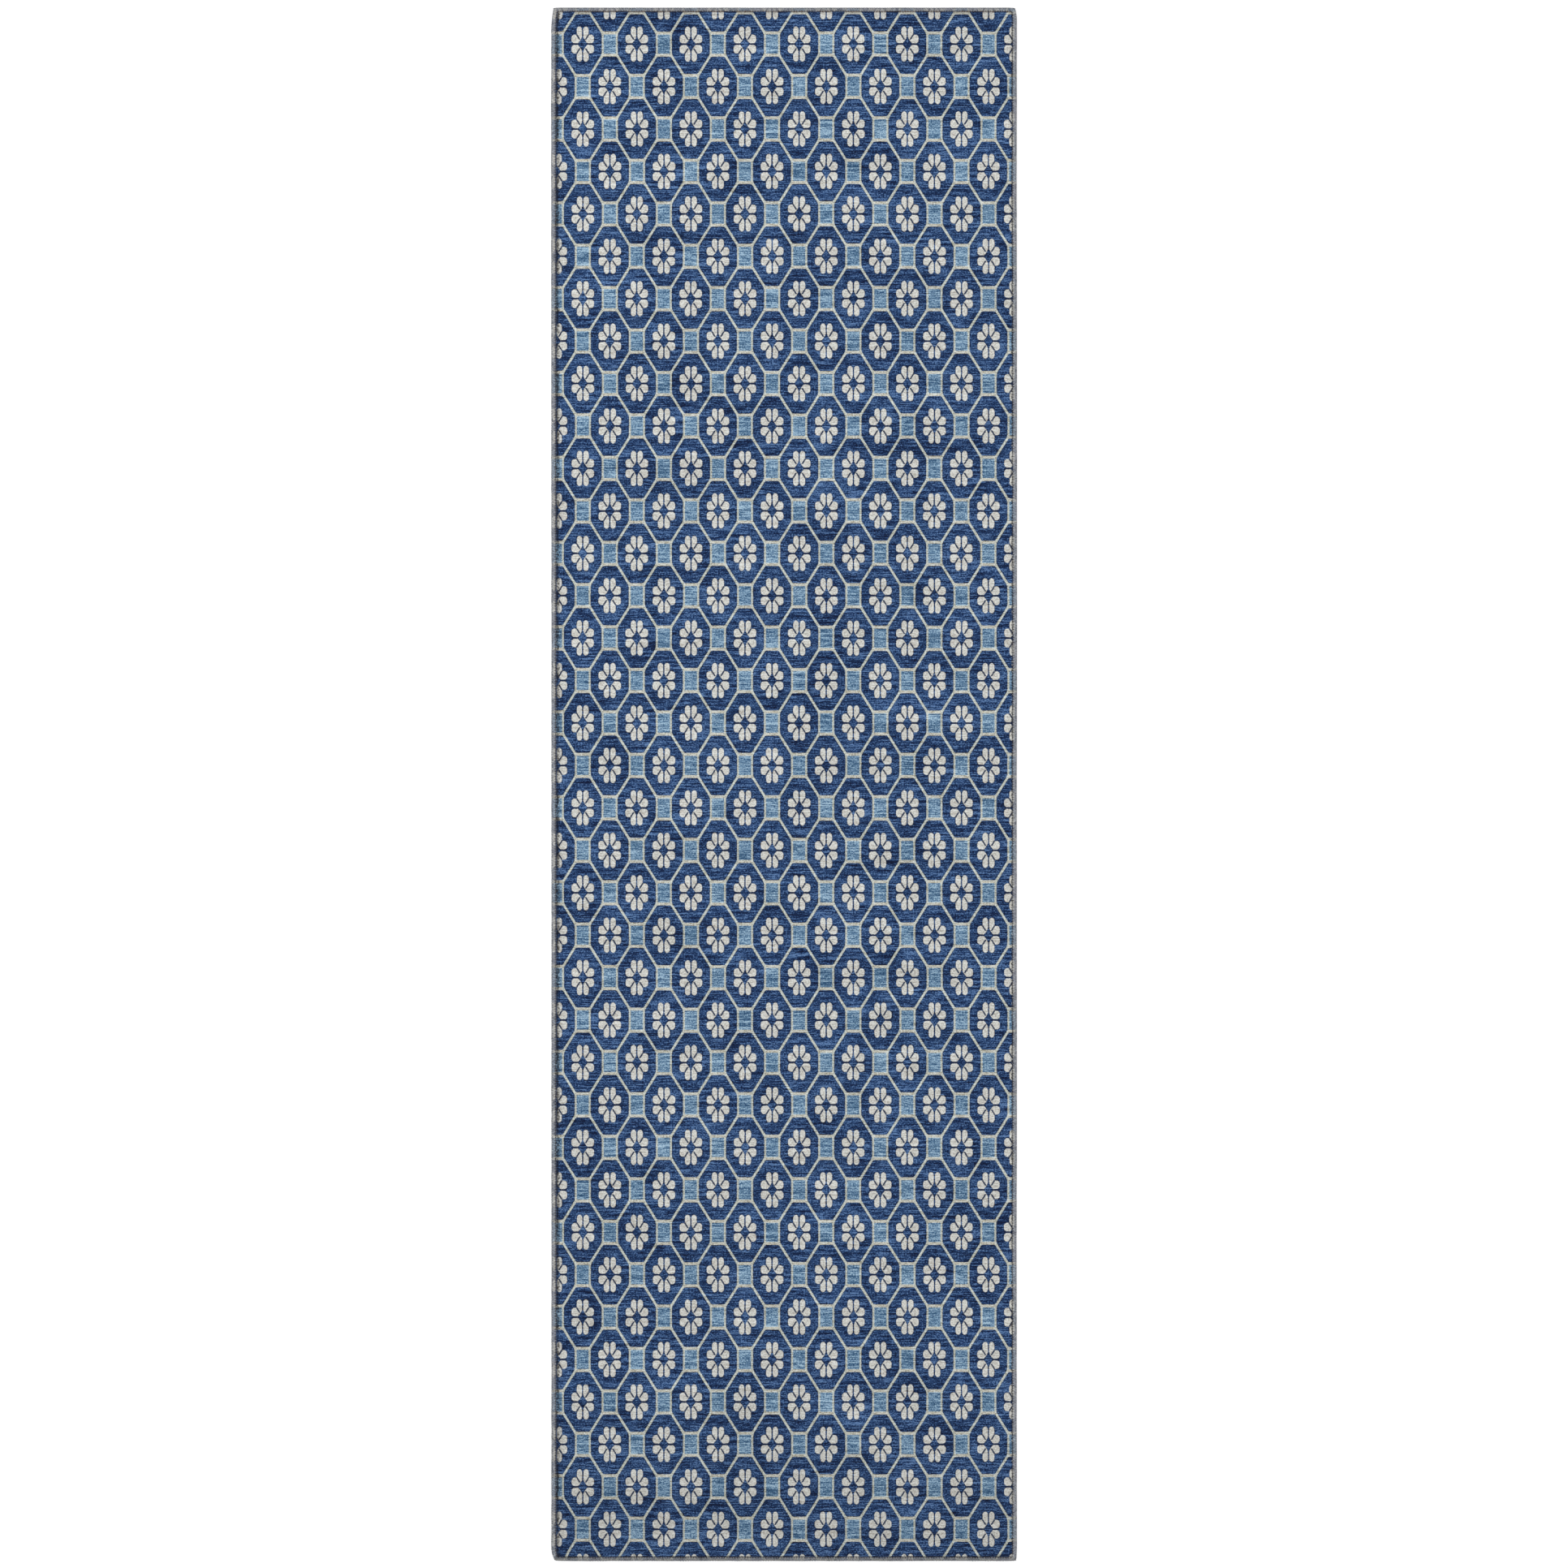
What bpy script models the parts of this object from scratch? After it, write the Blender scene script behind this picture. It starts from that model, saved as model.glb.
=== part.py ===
"""Runner rug, 27 x 90 in: a printed short-pile face on a laminated, non-slip
backing, with its four edges overlocked in grey yarn.

Frame: +Y along the length (the head end is +Y), +X to the right, +Z up.
The origin is on the floor under the middle of the rug. Units are metres.
"""

import bmesh
import bpy
from mathutils import Matrix, Vector

# ---------------------------------------------------------------- dimensions
WIDTH = 0.6858            # 27 in, over the overlocked edges
LENGTH = 2.2860           # 90 in, over the overlocked edges

YARN = 0.0010             # wall of yarn outside the cut edge of the cloth
GAP_EDGE = 0.0003         # slack between the cut edge and the yarn round it
BAND_SIDE = 0.0055        # width of the overlocked band on the long sides
BAND_END = 0.0048         # width of the overlocked band on the two ends
CORNER_R = 0.0040         # plan radius of the rug's corners
CUT_R = 0.0027            # plan radius of the cut layers' corners

# heights of the laminate, from the floor up
Z_BACK = (0.00000, 0.00110)      # non-slip backing
Z_BACK_LIP = 0.00080             # underside of the backing inside the seam
Z_FILM_LOW = (0.00125, 0.00145)  # lower bonding film
Z_FELT = (0.00160, 0.00260)      # needled felt cushion
Z_FILM_UP = (0.00275, 0.00295)   # upper bonding film
Z_GROUND = (0.00310, 0.00355)    # woven ground cloth
Z_PILE = (0.00370, 0.00550)      # printed pile
Z_PILE_LIP = 0.00410             # top of the pile pressed flat in the seam

# heights of the overlock
Z_UPPER_YARN = (0.00255, 0.00515)
Z_LOWER_YARN = (0.00000, 0.00225)
Z_SLOT = (0.00065, 0.00425)      # space the pressed layers lie in

NEEDLE_D = 0.0005         # needle thread
GROOVE = 0.0010           # furrow between the band and the standing pile

LABEL = (0.030, 0.055, 0.0003)   # sewn-in care label, width, length, thickness
LABEL_AT = (-0.230, -LENGTH / 2 + BAND_END + 0.0015)
LABEL_Z = 0.0001
POCKET_GAP = 0.0004

# ------------------------------------------------------------------- helpers
for old in list(bpy.data.objects):
    bpy.data.objects.remove(old, do_unlink=True)

scene = bpy.context.scene
rug = bpy.data.collections.new("runner_rug")
tools = bpy.data.collections.new("cutters")
scene.collection.children.link(rug)
scene.collection.children.link(tools)


def material(name, colour, roughness, metallic=0.0):
    m = bpy.data.materials.new(name)
    m.use_nodes = True
    p = m.node_tree.nodes["Principled BSDF"]
    p.inputs["Base Color"].default_value = (*colour, 1.0)
    p.inputs["Roughness"].default_value = roughness
    p.inputs["Metallic"].default_value = metallic
    return m


PRINTED_PILE = material("printed_pile", (0.020, 0.058, 0.190), 0.95)
GROUND_CLOTH = material("ground_cloth", (0.62, 0.60, 0.55), 0.90)
BOND_FILM = material("bond_film", (0.75, 0.74, 0.70), 0.45)
CUSHION = material("cushion_felt", (0.42, 0.42, 0.43), 0.95)
GRIP = material("grip_backing", (0.30, 0.31, 0.32), 0.75)
EDGE_YARN = material("edge_yarn", (0.22, 0.23, 0.245), 0.85)
SEAM_THREAD = material("seam_thread", (0.09, 0.095, 0.11), 0.80)
LABEL_CLOTH = material("label_cloth", (0.83, 0.83, 0.81), 0.70)


def box_mesh(name, x, y, z, corner_r=0.0, corner_y=0, top_r=0.0, low_r=0.0, segments=4):
    """A block from low to high corner. corner_r rounds its upright edges (only
    those toward +Y or -Y when corner_y is 1 or -1), top_r and low_r ease the
    rims of its upper and lower faces."""
    bm = bmesh.new()
    bmesh.ops.create_cube(bm, size=1.0)
    size = Vector((x[1] - x[0], y[1] - y[0], z[1] - z[0]))
    mid = Vector(((x[0] + x[1]) / 2, (y[0] + y[1]) / 2, (z[0] + z[1]) / 2))
    bmesh.ops.transform(bm, matrix=Matrix.Diagonal((*size, 1.0)), verts=bm.verts)
    if corner_r:
        upright = [
            e
            for e in bm.edges
            if abs(e.verts[0].co.z - e.verts[1].co.z) > size.z / 2
            and (corner_y == 0 or e.verts[0].co.y * corner_y > 0)
        ]
        bmesh.ops.bevel(
            bm, geom=upright, offset=corner_r, segments=segments, profile=0.5, affect="EDGES"
        )
    for r, sign in ((top_r, 1), (low_r, -1)):
        if r:
            rim = [
                e
                for e in bm.edges
                if all(abs(v.co.z - sign * size.z / 2) < 1e-7 for v in e.verts)
            ]
            bmesh.ops.bevel(bm, geom=rim, offset=r, segments=2, profile=0.5, affect="EDGES")
    bmesh.ops.recalc_face_normals(bm, faces=bm.faces)
    me = bpy.data.meshes.new(name)
    bm.to_mesh(me)
    bm.free()
    return me, mid


def block(name, mat, *args, **kw):
    me, mid = box_mesh(name, *args, **kw)
    ob = bpy.data.objects.new(name, me)
    ob.location = mid
    rug.objects.link(ob)
    ob.data.materials.append(mat)
    return ob


def cutter(name, *args, **kw):
    me, mid = box_mesh(name, *args, **kw)
    ob = bpy.data.objects.new(name, me)
    ob.location = mid
    tools.objects.link(ob)
    ob.hide_render = True
    ob.display_type = "WIRE"
    return ob


def boolean(ob, other, operation):
    mod = ob.modifiers.new(other.name, "BOOLEAN")
    mod.operation = operation
    mod.solver = "EXACT"
    mod.object = other
    return mod


def span(half, inset):
    return (-half + inset, half - inset)


HX, HY = WIDTH / 2, LENGTH / 2
CUT = YARN + GAP_EDGE     # from the rug's outline to the cut edge of the layers

# -------------------------------------------------------------- the laminate
# Each plain layer is one sheet cut to the same outline.
for name, mat, z in (
    ("lower_bond_film", BOND_FILM, Z_FILM_LOW),
    ("cushion_felt", CUSHION, Z_FELT),
    ("upper_bond_film", BOND_FILM, Z_FILM_UP),
    ("ground_weave", GROUND_CLOTH, Z_GROUND),
):
    block(name, mat, span(HX, CUT), span(HY, CUT), z, corner_r=CUT_R)

# The pile stands free inside the seam and is pressed flat under the yarn.
pile = block(
    "pile_face",
    PRINTED_PILE,
    span(HX, CUT),
    span(HY, CUT),
    (Z_PILE[0], Z_PILE_LIP),
    corner_r=CUT_R,
)
standing = cutter(
    "standing_pile",
    span(HX, BAND_SIDE + GROOVE),
    span(HY, BAND_END + GROOVE),
    ((Z_PILE[0] + Z_PILE_LIP) / 2, Z_PILE[1]),
    corner_r=0.0020,
    top_r=0.0004,
    segments=3,
)
boolean(pile, standing, "UNION")

# The backing is full thickness on the floor and thins out inside the seam.
backing = block(
    "nonslip_backing",
    GRIP,
    span(HX, CUT),
    span(HY, CUT),
    (Z_BACK_LIP, Z_BACK[1]),
    corner_r=CUT_R,
)
tread = cutter(
    "backing_tread",
    span(HX, BAND_SIDE + GAP_EDGE),
    span(HY, BAND_END + GAP_EDGE),
    (Z_BACK[0], (Z_BACK_LIP + Z_BACK[1]) / 2),
    corner_r=0.0020,
    segments=3,
)
boolean(backing, tread, "UNION")
pocket = cutter(
    "label_pocket",
    (LABEL_AT[0] - POCKET_GAP, LABEL_AT[0] + LABEL[0] + POCKET_GAP),
    (LABEL_AT[1] - POCKET_GAP, LABEL_AT[1] + LABEL[1] + POCKET_GAP),
    (-0.0010, LABEL_Z + LABEL[2] + 0.0001),
)
boolean(backing, pocket, "DIFFERENCE")

block(
    "care_label",
    LABEL_CLOTH,
    (LABEL_AT[0], LABEL_AT[0] + LABEL[0]),
    (LABEL_AT[1], LABEL_AT[1] + LABEL[1]),
    (LABEL_Z, LABEL_Z + LABEL[2]),
)

# -------------------------------------------------------------- the overlock
# Four runs of stitching. The two end runs were sewn last and close the corners;
# the side runs lie between them. In each run the upper looper's yarn covers the
# face and the upper half of the edge, the lower looper's yarn the rest.
slot = cutter(
    "pressed_layers",
    span(HX, YARN),
    span(HY, YARN),
    Z_SLOT,
    corner_r=CUT_R + 0.0002,
)
side_y = span(HY, BAND_END + GAP_EDGE)
runs = {
    "left": ((-HX, -HX + BAND_SIDE), side_y, 0),
    "right": ((HX - BAND_SIDE, HX), side_y, 0),
    "head": ((-HX, HX), (HY - BAND_END, HY), 1),
    "foot": ((-HX, HX), (-HY, -HY + BAND_END), -1),
}
for run, (x, y, corner_y) in runs.items():
    r = CORNER_R if corner_y else 0.0
    for looper, z, top_r, low_r in (
        ("upper", Z_UPPER_YARN, 0.0004, 0.0),
        ("lower", Z_LOWER_YARN, 0.0, 0.0003),
    ):
        yarn = block(
            looper + "_looper_yarn_" + run,
            EDGE_YARN,
            x,
            y,
            z,
            corner_r=r,
            corner_y=corner_y,
            top_r=top_r,
            low_r=low_r,
        )
        boolean(yarn, slot, "DIFFERENCE")

# The needle thread of each run lies in the furrow inside the band.
thread_z = Z_SLOT[1] + NEEDLE_D / 2
in_x = HX - BAND_SIDE - GROOVE / 2
in_y = HY - BAND_END - GROOVE / 2
for run, a, b in (
    ("left", (-in_x, -in_y + GROOVE), (-in_x, in_y - GROOVE)),
    ("right", (in_x, -in_y + GROOVE), (in_x, in_y - GROOVE)),
    ("head", (-in_x, in_y), (in_x, in_y)),
    ("foot", (-in_x, -in_y), (in_x, -in_y)),
):
    cu = bpy.data.curves.new("needle_thread_" + run, "CURVE")
    cu.dimensions = "3D"
    cu.bevel_depth = NEEDLE_D / 2
    cu.bevel_resolution = 2
    cu.use_fill_caps = True
    s = cu.splines.new("POLY")
    s.points.add(1)
    mid = (Vector(a) + Vector(b)) / 2
    for p, at in zip(s.points, (a, b)):
        p.co = (at[0] - mid.x, at[1] - mid.y, 0.0, 1.0)
    ob = bpy.data.objects.new("needle_thread_" + run, cu)
    ob.location = (mid.x, mid.y, thread_z)
    cu.materials.append(SEAM_THREAD)
    rug.objects.link(ob)
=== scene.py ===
import math

import bpy
import numpy as np
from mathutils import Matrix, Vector


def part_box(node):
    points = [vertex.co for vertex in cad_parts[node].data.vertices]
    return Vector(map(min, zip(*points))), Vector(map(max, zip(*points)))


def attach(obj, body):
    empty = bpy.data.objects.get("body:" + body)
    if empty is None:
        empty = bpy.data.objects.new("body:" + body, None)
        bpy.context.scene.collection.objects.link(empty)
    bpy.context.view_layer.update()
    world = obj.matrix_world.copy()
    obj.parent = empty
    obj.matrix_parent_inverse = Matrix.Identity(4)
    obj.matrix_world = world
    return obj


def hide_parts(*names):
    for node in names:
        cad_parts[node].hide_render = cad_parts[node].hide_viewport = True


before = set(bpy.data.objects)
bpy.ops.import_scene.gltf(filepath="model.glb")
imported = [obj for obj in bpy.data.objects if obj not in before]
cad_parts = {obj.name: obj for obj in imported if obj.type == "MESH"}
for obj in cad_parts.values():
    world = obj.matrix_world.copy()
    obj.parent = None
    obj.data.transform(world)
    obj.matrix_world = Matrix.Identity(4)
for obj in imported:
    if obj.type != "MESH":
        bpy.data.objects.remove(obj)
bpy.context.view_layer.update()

# ------------------------------------------------------------------ sizes, m
PILE_LO, PILE_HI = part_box("pile_face")
BACK_LO, BACK_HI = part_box("nonslip_backing")
WEAVE_LO, WEAVE_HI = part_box("ground_weave")
FELT_LO, FELT_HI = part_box("cushion_felt")
FILM1_LO, FILM1_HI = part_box("upper_bond_film")
FILM2_LO, FILM2_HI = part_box("lower_bond_film")
LABEL_LO, LABEL_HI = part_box("care_label")
LEFT_LO, LEFT_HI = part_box("upper_looper_yarn_left")
HEAD_LO, HEAD_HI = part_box("upper_looper_yarn_head")
THREAD_LO, THREAD_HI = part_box("needle_thread_left")
HEADT_LO, HEADT_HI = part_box("needle_thread_head")

HX, HY = HEAD_HI.x, HEAD_HI.y              # half width and half length
BAND_X = LEFT_HI.x - LEFT_LO.x             # overlock width on the long sides
BAND_Y = HEAD_HI.y - HEAD_LO.y             # and on the two ends
CUT = HX - PILE_HI.x                       # outline to cut edge of the layers
GROOVE_X = HX + (THREAD_LO.x + THREAD_HI.x) / 2   # needle line, from the outline
GROOVE_Y = HY - (HEADT_LO.y + HEADT_HI.y) / 2

# the printed repeat, in metres: a centred lattice of tall octagons
UX, UY = 0.6858 / 573.7, 2.2860 / 1914.7   # one drawing unit across and along
REPEAT_X, REPEAT_Y = 66.60, 104.59         # in drawing units
ROSE_X, ROSE_Y = -0.2216 * REPEAT_X * UX, 0.2216 * REPEAT_Y * UY


def smooth(t):
    t = np.clip(t, 0.0, 1.0)
    return t * t * (3 - 2 * t)


class Field:
    """Seeded smooth noise over the plane, about -1 to 1, in cells of any shape."""

    def __init__(self, seed, cell_x, cell_y):
        self.g = np.random.default_rng(seed).uniform(-1, 1, (257, 257))
        self.cx, self.cy = cell_x, cell_y

    def __call__(self, x, y):
        u, v = np.asarray(x) / self.cx, np.asarray(y) / self.cy
        i, j = np.floor(u).astype(int), np.floor(v).astype(int)
        fu, fv = smooth(u - i), smooth(v - j)
        g = self.g
        a, b = g[i % 257, j % 257], g[(i + 1) % 257, j % 257]
        c, d = g[i % 257, (j + 1) % 257], g[(i + 1) % 257, (j + 1) % 257]
        return (a * (1 - fu) + b * fu) * (1 - fv) + (c * (1 - fu) + d * fu) * fv


# The real outline isn't quite a rectangle: the ends of each seam draw the corners
# in, and the long edges wander by a fraction of a millimetre.
EDGE_WANDER = Field(11, 0.19, 0.23)
EDGE_WANDER_2 = Field(12, 0.045, 0.05)
CORNERS = {  # corner: (draw in across, over this length, draw in along, over this)
    (-1, 1): (0.0032, 0.036, 0.0004, 0.020),
    (1, 1): (0.0027, 0.016, 0.0006, 0.012),
    (-1, -1): (0.0050, 0.020, 0.0008, 0.012),
    (1, -1): (0.0009, 0.030, 0.0005, 0.014),
}


def drawn_in(co):
    """The plan position of points after the seam has drawn the outline in."""
    x, y = co[:, 0].copy(), co[:, 1].copy()
    near_x = smooth((np.abs(x) - HX + 0.05) / 0.05)
    near_y = smooth((np.abs(y) - HY + 0.05) / 0.05)
    side_x, side_y = np.sign(x), np.sign(y)
    dx = 0.00030 * (1 + EDGE_WANDER(side_x * 3 + 1, y)) + 0.00012 * (
        1 + EDGE_WANDER_2(side_x * 2 + 1, y)
    )
    dy = 0.00008 * (1 + EDGE_WANDER(x, side_y * 3 + 1)) + 0.00006 * (
        1 + EDGE_WANDER_2(x, side_y * 2 + 1)
    )
    out = co.copy()
    out[:, 0] -= side_x * near_x * dx
    out[:, 1] -= side_y * near_y * dy
    for (sx, sy), (ax, lx, ay, ly) in CORNERS.items():
        here = (side_x == sx) & (side_y == sy)
        along = np.clip((HY - np.abs(y)) / lx, 0, 1)
        across = np.clip((HX - np.abs(x)) / ly, 0, 1)
        out[:, 0] -= np.where(here, sx * near_x * ax * (1 - along) ** 2, 0)
        out[:, 1] -= np.where(here, sy * near_y * ay * (1 - across) ** 2, 0)
    return out


# ------------------------------------------------------------------ mesh code
def make_object(name, co, loops, starts, totals, uvs=None, bake=None, sharp=None):
    """A mesh object from arrays. uvs holds the plan place on the print for each
    vertex, and bake a place on the piece's own map for each face corner."""
    me = bpy.data.meshes.new(name)
    me.vertices.add(len(co))
    me.vertices.foreach_set("co", co.astype(np.float32).ravel())
    me.loops.add(len(loops))
    me.loops.foreach_set("vertex_index", loops.astype(np.int32))
    me.polygons.add(len(starts))
    me.polygons.foreach_set("loop_start", starts.astype(np.int32))
    me.polygons.foreach_set("loop_total", totals.astype(np.int32))
    me.update(calc_edges=True)
    if bake is not None:
        layer = me.uv_layers.new(name="OFBake", do_init=False)
        layer.uv.foreach_set("vector", bake.astype(np.float32).ravel())
    if uvs is not None:
        layer = me.uv_layers.new(name="print", do_init=False)
        layer.uv.foreach_set("vector", uvs[loops].astype(np.float32).ravel())
    me.validate()
    me.shade_smooth()
    if sharp:
        me.set_sharp_from_angle(angle=math.radians(sharp))
    ob = bpy.data.objects.new(name, me)
    bpy.context.scene.collection.objects.link(ob)
    return ob


def closed_sheet(name, xs, ys, top, bottom, bands=2, print_at=True):
    """A closed sheet over the grid xs by ys, its upper face at top(x, y) and its
    lower face at bottom(x, y). Only the rim of the lower face has grid points."""
    nx, ny = len(xs), len(ys)
    X, Y = np.meshgrid(xs, ys, indexing="ij")
    flat = np.stack([X.ravel(), Y.ravel(), np.zeros(nx * ny)], 1)
    up = drawn_in(flat)
    up[:, 2] = top(X.ravel(), Y.ravel())
    idx = np.arange(nx * ny).reshape(nx, ny)
    ring = np.concatenate([idx[:, 0], idx[-1, 1:], idx[-2::-1, -1], idx[0, -2:0:-1]])
    low = drawn_in(flat[ring])
    low[:, 2] = bottom(flat[ring, 0], flat[ring, 1])
    co = np.concatenate([up, low])
    plan = np.concatenate([flat[:, :2], flat[ring, :2]])
    n0 = nx * ny
    lower = {int(r): n0 + k for k, r in enumerate(ring)}
    q = np.stack([idx[:-1, :-1], idx[1:, :-1], idx[1:, 1:], idx[:-1, 1:]], -1).reshape(-1, 4)
    # the piece's own map: the face in bands side by side, then the lower face
    wide = 0.92 / bands
    jj = np.broadcast_to(np.arange(ny - 1)[None], (nx - 1, ny - 1)).ravel()
    per = int(math.ceil((ny - 1) / bands))
    band = jj // per
    fx = (xs - xs[0]) / (xs[-1] - xs[0])
    y_at = ys[np.minimum(np.arange(bands + 1) * per, ny - 1)]
    span = np.max(np.diff(y_at))
    ii = np.broadcast_to(np.arange(nx - 1)[:, None], (nx - 1, ny - 1)).ravel()

    def place(i, j):
        u = band * wide + 0.002 + (wide - 0.004) * fx[i]
        v = 0.002 + 0.996 * (ys[j] - y_at[band]) / span
        return np.stack([u, v], -1)

    bake = np.stack(
        [place(ii, jj), place(ii + 1, jj), place(ii + 1, jj + 1), place(ii, jj + 1)], 1
    ).reshape(-1, 2)
    loops, starts, totals, bakes = [q.ravel()], [np.arange(len(q)) * 4], [np.full(len(q), 4)], [bake]
    at = len(q) * 4
    # the side wall
    a, b = ring, np.roll(ring, -1)
    la = n0 + np.arange(len(ring))
    lb = np.roll(la, -1)
    w = np.stack([a, la, lb, b], 1)
    loops.append(w.ravel())
    starts.append(at + np.arange(len(w)) * 4)
    totals.append(np.full(len(w), 4))
    t = np.arange(len(w)) / len(w)
    t2 = t + 1 / len(w)
    bakes.append(
        np.stack(
            [
                np.stack([np.full_like(t, 0.930), t], 1),
                np.stack([np.full_like(t, 0.925), t], 1),
                np.stack([np.full_like(t, 0.925), t2], 1),
                np.stack([np.full_like(t, 0.930), t2], 1),
            ],
            1,
        ).reshape(-1, 2)
    )
    at += len(w) * 4
    # the lower face, in strips across
    left = [lower[int(k)] for k in idx[0, :]]
    right = [lower[int(k)] for k in idx[-1, :]]
    head = [lower[int(k)] for k in idx[:, -1]]
    foot = [lower[int(k)] for k in idx[:, 0]]
    lo, st, to, bk = [], [], [], []

    def low_place(v):
        x, y = plan[v]
        return (
            0.94 + 0.058 * (x - xs[0]) / (xs[-1] - xs[0]),
            0.002 + 0.996 * (y - ys[0]) / (ys[-1] - ys[0]),
        )

    for j in range(ny - 1):
        if j == 0:
            f = foot[::-1] + [left[1], right[1]]
            f = [right[1]] + foot[::-1] + [left[1]]
        elif j == ny - 2:
            f = [left[j]] + head + [right[j]]
        else:
            f = [left[j], left[j + 1], right[j + 1], right[j]]
        st.append(at)
        to.append(len(f))
        at += len(f)
        lo += f
        bk += [low_place(v) for v in f]
    loops.append(np.array(lo))
    starts.append(np.array(st))
    totals.append(np.array(to))
    bakes.append(np.array(bk))
    return make_object(
        name,
        co,
        np.concatenate(loops),
        np.concatenate(starts),
        np.concatenate(totals),
        uvs=plan if print_at else None,
        bake=np.concatenate(bakes),
    )


def tube(name, path, normals, half_w, half_t, sides, plan=None, twist=None):
    """A closed flattened tube along a path. normals point off the surface that it
    lies on, half_w is its half width along that surface and half_t its half
    thickness. Returns the object; its own map lays the path out in rows."""
    n = len(path)
    t = np.gradient(path, axis=0)
    t /= np.linalg.norm(t, axis=1)[:, None]
    nn = normals - (normals * t).sum(1)[:, None] * t
    nn /= np.linalg.norm(nn, axis=1)[:, None]
    side = np.cross(t, nn)
    a = np.arange(sides) / sides * 2 * math.pi
    if twist is None:
        twist = np.zeros(n)
    ca, sa = np.cos(a)[None] * np.ones((n, 1)), np.sin(a)[None] * np.ones((n, 1))
    hw = np.broadcast_to(half_w, (n,))[:, None]
    ht = np.broadcast_to(half_t, (n,))[:, None]
    ply = 1 + 0.10 * np.cos(2 * (a[None] - twist[:, None]))
    ring = (
        path[:, None]
        + side[:, None] * (ca * hw * ply)[..., None]
        + nn[:, None] * (sa * ht * ply)[..., None]
    )
    co = ring.reshape(-1, 3)
    idx = np.arange(n * sides).reshape(n, sides)
    nxt = np.roll(idx, -1, 1)
    q = np.stack([idx[:-1], nxt[:-1], nxt[1:], idx[1:]], -1).reshape(-1, 4)
    # rows of the piece's own map
    rows = max(1, int(math.sqrt((n - 1) * 0.9 / sides)))
    per = int(math.ceil((n - 1) / rows))
    i = np.repeat(np.arange(n - 1), sides)
    j = np.tile(np.arange(sides), n - 1)
    r, k = i // per, i % per
    high = 1.0 / rows
    cell = high * 0.94 / sides

    def place(dk, dj):
        u = 0.002 + 0.996 * (k + dk) / per
        v = r * high + high * 0.03 + (j + dj) * cell
        return np.stack([u, v], -1)

    bake = np.stack([place(0, 0), place(0, 1), place(1, 1), place(1, 0)], 1).reshape(-1, 2)
    caps = np.concatenate([idx[0][::-1], idx[-1]])
    loops = np.concatenate([q.ravel(), caps])
    starts = np.concatenate([np.arange(len(q)) * 4, [len(q) * 4, len(q) * 4 + sides]])
    totals = np.concatenate([np.full(len(q), 4), [sides, sides]])
    ring_uv = 0.5 + 0.0005 * np.stack([np.cos(a), np.sin(a)], 1)
    bake = np.concatenate([bake, ring_uv, ring_uv])
    plan_uv = co[:, :2] if plan is None else np.repeat(plan, sides, axis=0)
    return make_object(name, co, loops, starts, totals, uvs=plan_uv, bake=bake)


# ------------------------------------------------------------------ materials
class N:
    """Node arithmetic: N values add, multiply and compare into Math nodes."""

    def __init__(self, tree, socket):
        self.tree, self.socket = tree, socket

    def _op(self, op, *others):
        node = self.tree.nodes.new("ShaderNodeMath")
        node.operation = op
        for k, o in enumerate((self, *others)):
            if isinstance(o, N):
                self.tree.links.new(o.socket, node.inputs[k])
            else:
                node.inputs[k].default_value = float(o)
        return N(self.tree, node.outputs[0])

    def __add__(self, o): return self._op("ADD", o)
    __radd__ = __add__
    def __sub__(self, o): return self._op("SUBTRACT", o)
    def __rsub__(self, o): return (self * -1.0) + o
    def __mul__(self, o): return self._op("MULTIPLY", o)
    __rmul__ = __mul__
    def __truediv__(self, o): return self._op("DIVIDE", o)
    def abs(self): return self._op("ABSOLUTE")
    def min(self, o): return self._op("MINIMUM", o)
    def max(self, o): return self._op("MAXIMUM", o)
    def softmin(self, o, k): return self._op("SMOOTH_MIN", o, k)
    def softmax(self, o, k): return self._op("SMOOTH_MAX", o, k)
    def over(self, o): return self._op("GREATER_THAN", o)
    def wave(self, k): return self._op("PINGPONG", k)
    def root(self): return self._op("SQRT")
    def sin(self): return self._op("SINE")

    def clip(self, lo, hi, out_lo=0.0, out_hi=1.0, kind="LINEAR"):
        node = self.tree.nodes.new("ShaderNodeMapRange")
        node.interpolation_type = kind
        node.clamp = True
        self.tree.links.new(self.socket, node.inputs[0])
        for k, v in zip((1, 2, 3, 4), (lo, hi, out_lo, out_hi)):
            node.inputs[k].default_value = v
        return N(self.tree, node.outputs[0])

    def inside(self, soft):
        """1 where this distance is negative, 0 where it is positive."""
        return self.clip(-soft, soft, 1.0, 0.0, "SMOOTHSTEP")


def hypot(a, b):
    return (a * a + b * b).root()


def noise(tree, x, y, size_x, size_y, detail=1.0, rough=0.5, dims="2D", z=None):
    v = tree.nodes.new("ShaderNodeCombineXYZ")
    for k, (s, c) in enumerate(((x, size_x), (y, size_y))):
        tree.links.new((s * (1.0 / c)).socket, v.inputs[k])
    n = tree.nodes.new("ShaderNodeTexNoise")
    n.noise_dimensions = dims
    tree.links.new(v.outputs[0], n.inputs["Vector"])
    n.inputs["Scale"].default_value = 1.0
    n.inputs["Detail"].default_value = detail
    n.inputs["Roughness"].default_value = rough
    return N(tree, n.outputs["Fac"] if "Fac" in n.outputs else n.outputs[0])


def srgb(r, g, b):
    def f(c):
        c /= 255.0
        return c / 12.92 if c <= 0.04045 else ((c + 0.055) / 1.055) ** 2.4

    return (f(r), f(g), f(b), 1.0)


def ramp(tree, fac, stops, interpolation="LINEAR"):
    n = tree.nodes.new("ShaderNodeValToRGB")
    n.color_ramp.interpolation = interpolation
    e = n.color_ramp.elements
    while len(e) < len(stops):
        e.new(0.5)
    for k, (at, c) in enumerate(stops):
        e[k].position = at
        e[k].color = c
    tree.links.new(fac.socket, n.inputs[0])
    return n.outputs[0]


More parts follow.
